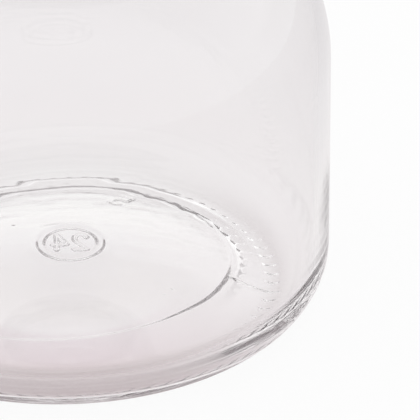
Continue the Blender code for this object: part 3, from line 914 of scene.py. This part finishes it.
def flap_knob():
    """The moulded knob: foot, waist, head with a parting line, gate mark on top and a blind hole below."""
    bore = SCREW_RADIUS + SCREW_PLAY
    depth = SCREW_BITE + SEAT_GAP
    half_head = KNOB_HEAD_HEIGHT / 2
    middle = KNOB_HEIGHT - half_head
    start = -math.acos(KNOB_WAIST_RADIUS / KNOB_RADIUS)
    head = []
    for angle in spread(start, math.pi / 2, KNOB_STEPS):
        height = middle + half_head * math.sin(angle)
        away = abs(height - middle) / PARTING_WIDTH
        radius = KNOB_RADIUS * math.cos(angle) - PARTING_HEIGHT * min(1, away)
        if radius < GATE_RADIUS:
            height -= GATE_DEPTH * (1 - (radius / GATE_RADIUS) ** 2)
        head.append((max(radius, 0), height))
    head[-1] = (0, KNOB_HEIGHT - GATE_DEPTH)
    edge = SHEET_EDGE
    foot = arc(KNOB_FOOT_RADIUS - edge, KNOB_FOOT_HEIGHT - edge, edge, edge, 0, 90, 4)
    waist = stretch(foot[-1], head[0], 6)
    outline = [(0, depth), (bore, depth), (bore, 0), (KNOB_FOOT_RADIUS, 0)] + foot + waist + head[1:]
    knob = spun("knob_black", outline, steps=72)
    knob.data.transform(Matrix.Translation(KNOB_PLACE))
    return knob


def knob_screw():
    """The screw under the flap: domed head with a slot, and its shank up in the knob."""
    under_knob = SEAT_GAP + LID_SHEET + SEAT_GAP
    top = under_knob + SCREW_BITE
    edge = SCREW_HEAD_HEIGHT / 2
    dome = arc(0, -edge, SCREW_HEAD_RADIUS, SCREW_HEAD_HEIGHT - edge, -90, 0, 12)
    dome[0] = (0, -SCREW_HEAD_HEIGHT)
    outline = dome + [(SCREW_HEAD_RADIUS, 0), (SCREW_RADIUS, 0), (SCREW_RADIUS, top - SHEET_EDGE)]
    outline += [(SCREW_RADIUS - SHEET_EDGE, top), (0, top)]
    screw = spun("screw_steel", outline, steps=64)
    slot = bmesh.new()
    bmesh.ops.create_cube(slot, size=1)
    bmesh.ops.scale(slot, verts=slot.verts, vec=(3 * SCREW_HEAD_RADIUS, SLOT_WIDTH, 2 * SLOT_DEPTH))
    bmesh.ops.translate(slot, verts=slot.verts, vec=(0, 0, -SCREW_HEAD_HEIGHT))
    cut(screw, slot)
    screw.data.transform(Matrix.Translation(KNOB_PLACE - UP * under_knob))
    return screw


def steel_material(name, colour, roughness, lines):
    """Stainless steel: fine turned lines round the axis, faint smudges, and a little colour change."""
    material, tree, shader, _ = new_material(name)
    shader.inputs["Metallic"].default_value = 1.0
    place = object_place(tree)
    split = add_node(tree, "ShaderNodeSeparateXYZ")
    tree.links.new(place, split.inputs[0])
    flat = add_node(tree, "ShaderNodeCombineXYZ")
    tree.links.new(split.outputs["X"], flat.inputs["X"])
    tree.links.new(split.outputs["Y"], flat.inputs["Y"])
    from_axis = add_node(tree, "ShaderNodeVectorMath", operation="LENGTH")
    tree.links.new(flat.outputs[0], from_axis.inputs[0])
    polar = add_node(tree, "ShaderNodeCombineXYZ")
    tree.links.new(from_axis.outputs["Value"], polar.inputs["X"])
    tree.links.new(split.outputs["Z"], polar.inputs["Z"])
    turned = noise_texture(tree, polar.outputs[0], scale=lines, detail=3.0)
    smudge = noise_texture(tree, place, scale=90.0, detail=4.0, distortion=0.6)
    tree.links.new(remap(tree, smudge, (0.35, 0.7), roughness), shader.inputs["Roughness"])
    dull = [DULL_SHARE * value for value in colour[:3]] + [1]
    tree.links.new(blend_colours(tree, smudge, colour, dull), shader.inputs["Base Color"])
    add_bump(tree, shader, turned, strength=0.35, distance=0.00001)
    return material


def moulded_material(name, colour, dark, roughness, grain, depth):
    """Moulded plastic or rubber: fine grain, and slight changes of colour and gloss."""
    material, tree, shader, _ = new_material(name)
    place = object_place(tree)
    fine = noise_texture(tree, place, scale=grain, detail=3.0)
    broad = noise_texture(tree, place, scale=grain / 12, detail=3.0)
    tree.links.new(blend_colours(tree, broad, dark, colour), shader.inputs["Base Color"])
    tree.links.new(remap(tree, broad, (0.3, 0.7), roughness), shader.inputs["Roughness"])
    add_bump(tree, shader, fine, strength=0.5, distance=depth)
    return material


# Floor and room
FLOOR_SIZE = 6.0
FLOOR_DROP = 0.00005
FLOOR_COLOUR = (0.80, 0.80, 0.80, 1)
FLOOR_CAMERA_SHARE = 0.94
FLOOR_GLASS_SHARE = 0.90
FLOOR_SCALE = 0.04
# Painted shade on the floor that glass and steel show: the jar's shadow painted in rings round the foot,
# darkest and pinkish at the front, with painted lighter and darker bands further out
# The tones of the three glows began as another script's least-squares fit to the photograph's pixels,
# and were then changed by hand
FRONT_PAINTED_SHADE = (
    (0.0, (0.88, 0.85, 0.86, 1)),
    (0.010, (0.96, 0.93, 0.93, 1)),
    (0.015, (0.97, 0.94, 0.95, 1)),
    (0.017, (0.88, 0.81, 0.84, 1)),
    (0.023, (0.85, 0.76, 0.79, 1)),
    (0.027, (0.80, 0.71, 0.73, 1)),
    (0.030, (0.70, 0.62, 0.63, 1)),
    (0.033, (0.57, 0.50, 0.51, 1)),
    (0.038, (0.64, 0.57, 0.58, 1)),
    (0.045, (0.83, 0.77, 0.79, 1)),
    (0.090, (0.99, 0.99, 0.99, 1)),
    (0.200, (0.89, 0.88, 0.88, 1)),
    (3.0, (0.87, 0.85, 0.85, 1)),
)
SIDE_PAINTED_SHADE = (
    (0.0, (0.88, 0.85, 0.86, 1)),
    (0.010, (0.93, 0.90, 0.90, 1)),
    (0.027, (0.94, 0.91, 0.92, 1)),
    (0.030, (0.90, 0.87, 0.88, 1)),
    (0.033, (0.75, 0.70, 0.71, 1)),
    (0.038, (0.88, 0.84, 0.85, 1)),
    (0.045, (0.94, 0.91, 0.92, 1)),
    (0.060, (0.91, 0.89, 0.89, 1)),
    (0.090, (0.81, 0.79, 0.80, 1)),
    (0.200, (0.73, 0.71, 0.72, 1)),
    (3.0, (0.81, 0.80, 0.80, 1)),
)
BACK_PAINTED_SHADE = (
    (0.0, (0.88, 0.85, 0.86, 1)),
    (0.015, (0.92, 0.90, 0.91, 1)),
    (0.022, (0.99, 0.98, 0.97, 1)),
    (0.028, (1.00, 0.99, 0.99, 1)),
    (0.033, (0.91, 0.90, 0.90, 1)),
    (0.060, (0.90, 0.87, 0.88, 1)),
    (0.090, (0.91, 0.89, 0.90, 1)),
    (0.200, (0.79, 0.77, 0.78, 1)),
    (3.0, (0.83, 0.82, 0.82, 1)),
)
ROOM_STOPS = (
    (0.00, (0.60, 0.57, 0.58, 1)),
    (0.50, (0.99, 1.00, 1.00, 1)),
    (0.60, (1.00, 1.01, 1.00, 1)),
    (0.75, (0.97, 0.98, 0.98, 1)),
    (0.85, (0.92, 0.92, 0.92, 1)),
    (1.00, (1.00, 1.00, 1.00, 1)),
)
SOFTBOX_STOPS = (
    (0.58, (0.0, 0.0, 0.0, 1)),
    (0.64, (1.0, 1.0, 1.0, 1)),
    (0.77, (1.0, 1.0, 1.0, 1)),
    (0.81, (0.0, 0.0, 0.0, 1)),
)
SOFTBOX_GAIN = 0.22
SOFTBOX_FROM = (-0.2, 0.5)
LIGHT_BOUNCES = 96


def maths(tree, operation, first, second):
    """A Math node of two values, each a socket or a number."""
    node = add_node(tree, "ShaderNodeMath", operation=operation)
    for socket, value in zip(node.inputs, (first, second)):
        if isinstance(value, (int, float)):
            socket.default_value = value
        else:
            tree.links.new(value, socket)
    return node.outputs[0]


def ramp(tree, value, stops, easing="EASE"):
    """A colour ramp with those stops, fed by a value."""
    node = add_node(tree, "ShaderNodeValToRGB")
    node.color_ramp.interpolation = easing
    elements = node.color_ramp.elements
    elements[0].position, elements[0].color = stops[0]
    elements[1].position, elements[1].color = stops[-1]
    for position, colour in stops[1:-1]:
        elements.new(position).color = colour
    tree.links.new(value, node.inputs["Fac"])
    return node.outputs["Color"]


def floor():
    """A pale floor: white to the camera, with the jar's shadow painted in rings round the foot where glass or
    steel shows it.
    """
    builder = bmesh.new()
    bmesh.ops.create_grid(builder, x_segments=1, y_segments=1, size=FLOOR_SIZE / 2)
    mesh = bpy.data.meshes.new("floor")
    builder.to_mesh(mesh)
    builder.free()
    obj = add_object("floor", mesh)
    obj.location.z = -FLOOR_DROP
    material, tree, shader, output = new_material("pale_floor")
    shader.inputs["Base Color"].default_value = FLOOR_COLOUR
    shader.inputs["Roughness"].default_value = 1.0
    shader.inputs["Specular IOR Level"].default_value = 0.0
    place = object_place(tree)
    split = add_node(tree, "ShaderNodeSeparateXYZ")
    length = add_node(tree, "ShaderNodeVectorMath", operation="LENGTH")
    tree.links.new(place, split.inputs[0])
    tree.links.new(place, length.inputs[0])
    away = length.outputs["Value"]
    share = maths(tree, "DIVIDE", away, maths(tree, "ADD", away, FLOOR_SCALE))
    # Painted shade: floor tones in rings round the foot, the jar's shadow painted for glass and steel to show
    painted_shades = []
    for shade_stops in (FRONT_PAINTED_SHADE, SIDE_PAINTED_SHADE, BACK_PAINTED_SHADE):
        stops = [(radius / (radius + FLOOR_SCALE), colour) for radius, colour in shade_stops]
        painted_shades.append(ramp(tree, share, stops, "LINEAR"))
    front, side, back = painted_shades
    behind = maths(tree, "DIVIDE", split.outputs["Y"], away)
    along = blend_colours(tree, maths(tree, "GREATER_THAN", behind, 0.0), front, back)
    painted_shade = add_node(tree, "ShaderNodeEmission")
    shade_tone = blend_colours(tree, maths(tree, "MULTIPLY", behind, behind), side, along)
    tree.links.new(shade_tone, painted_shade.inputs["Color"])
    white = add_node(tree, "ShaderNodeEmission", {"Strength": 1.0})
    path = add_node(tree, "ShaderNodeLightPath").outputs
    # Glass and steel rays see mostly the painted shade; camera rays see mostly plain white with a faint real
    # shadow
    through = maths(tree, "MAXIMUM", path["Is Transmission Ray"], path["Is Glossy Ray"])
    glass_share = maths(tree, "MULTIPLY", through, FLOOR_GLASS_SHARE)
    camera_share = maths(tree, "MULTIPLY", path["Is Camera Ray"], FLOOR_CAMERA_SHARE)
    surface = mix_shaders(tree, camera_share, mix_shaders(tree, glass_share, shader, painted_shade), white)
    tree.links.new(surface.outputs[0], output.inputs["Surface"])
    mesh.materials.append(material)


def room():
    """A plain studio: white to the camera, else a soft gradient of light with a soft box behind the jar."""
    world = bpy.data.worlds.new("studio")
    bpy.context.scene.world = world
    world.use_nodes = True
    tree = world.node_tree
    surround = tree.nodes["Background"]
    place = add_node(tree, "ShaderNodeTexCoord")
    split = add_node(tree, "ShaderNodeSeparateXYZ")
    tree.links.new(place.outputs["Generated"], split.inputs[0])
    height = remap(tree, split.outputs["Z"], (-1.0, 1.0))
    behind = remap(tree, split.outputs["Y"], SOFTBOX_FROM, easing="SMOOTHSTEP")
    lit = maths(tree, "MULTIPLY", ramp(tree, height, SOFTBOX_STOPS), behind)
    gain = maths(tree, "MULTIPLY", lit, SOFTBOX_GAIN)
    tree.links.new(ramp(tree, height, ROOM_STOPS), surround.inputs["Color"])
    tree.links.new(maths(tree, "ADD", gain, 1.0), surround.inputs["Strength"])
    white = add_node(tree, "ShaderNodeBackground", {"Color": (1, 1, 1, 1), "Strength": 1.0})
    path = add_node(tree, "ShaderNodeLightPath")
    mixed = mix_shaders(tree, path.outputs["Is Camera Ray"], surround, white)
    tree.links.new(mixed.outputs[0], tree.nodes["World Output"].inputs["Surface"])


def place_piece(piece, material, body, node):
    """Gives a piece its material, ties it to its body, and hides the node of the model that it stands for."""
    piece.data.materials.clear()
    piece.data.materials.append(material)
    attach(piece, body)
    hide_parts(node)


camera()
floor()
room()
steel = steel_material("polished_steel", (0.80, 0.80, 0.81, 1), roughness=(0.14, 0.24), lines=5200.0)
pin_metal = steel_material("pin_steel", (0.66, 0.66, 0.67, 1), roughness=(0.22, 0.34), lines=3000.0)
black = moulded_material(
    "black_plastic",
    colour=(0.022, 0.022, 0.024, 1),
    dark=(0.014, 0.014, 0.015, 1),
    roughness=(0.20, 0.34),
    grain=1400.0,
    depth=0.00001,
)
rubber = moulded_material(
    "liner_white",
    colour=(0.93, 0.92, 0.90, 1),
    dark=(0.90, 0.89, 0.87, 1),
    roughness=(0.48, 0.62),
    grain=1100.0,
    depth=0.00003,
)
place_piece(add_object("jar_glass", jar_mesh()), glass_material(), "jar", "glass_jar")
place_piece(lid_liner(), rubber, "liner", "lid_liner")
place_piece(lid_cap(), steel, "cap", "lid_cap")
place_piece(lid_flap(), steel, "flap", "lid_flap")
place_piece(hinge_pin(), pin_metal, "cap", "hinge_pin")
place_piece(flap_knob(), black, "flap", "flap_knob")
place_piece(knob_screw(), pin_metal, "flap", "knob_screw")

scene = bpy.context.scene
scene.view_settings.view_transform = "Standard"
scene.cycles.max_bounces = LIGHT_BOUNCES
scene.cycles.transmission_bounces = LIGHT_BOUNCES
scene.cycles.glossy_bounces = LIGHT_BOUNCES
